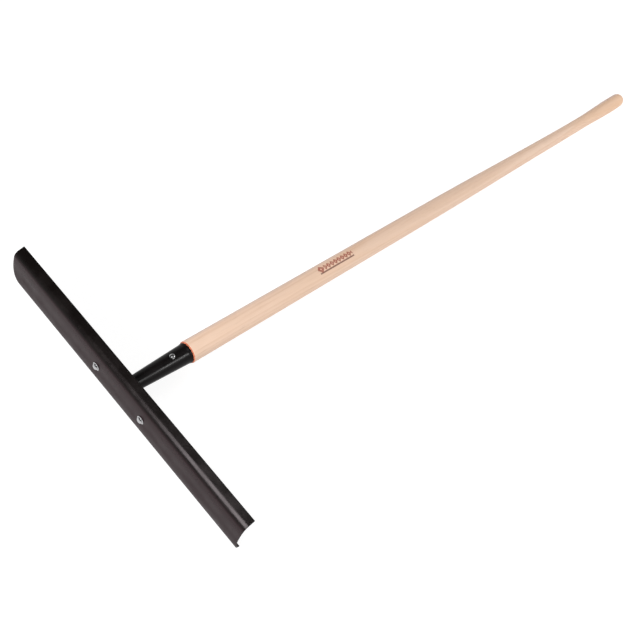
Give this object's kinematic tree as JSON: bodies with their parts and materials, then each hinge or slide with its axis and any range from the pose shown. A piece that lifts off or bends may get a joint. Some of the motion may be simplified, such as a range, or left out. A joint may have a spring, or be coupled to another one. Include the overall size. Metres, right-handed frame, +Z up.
{
  "type": "concrete placer",
  "caption": "Long-handled concrete placer: a wide curved steel blade, bolted to a bracket with a welded tapered socket, that pulls and pushes wet concrete.",
  "frame": {"origin": "on the floor under the middle of the bounding box, with the tool lying as it would on a floor: on the blade's lower edge and the handle's bulb", "axes": "+Y runs from the blade to the grip, +X along the blade, +Z up away from the floor"},
  "size_m": [0.508, 1.5122, 0.0916],
  "materials": {
    "black_coat": "satin black powder coat on sheet steel",
    "ash_wood": "pale turned hardwood under a thin clear lacquer",
    "zinc_plate": "bright zinc-plated steel",
    "rivet_steel": "bright steel, slightly worn"
  },
  "bodies": {
    "root": {"blade": "black_coat", "bracket": "black_coat", "socket": "black_coat", "socket_weld": "black_coat", "handle": "ash_wood", "bolt_left": "zinc_plate", "bolt_right": "zinc_plate", "washer_left": "zinc_plate", "washer_right": "zinc_plate", "spring_washer_left": "zinc_plate", "spring_washer_right": "zinc_plate", "nut_left": "zinc_plate", "nut_right": "zinc_plate", "rivet": "rivet_steel", "rivet_burr": "rivet_steel"}
  },
  "joints": []
}
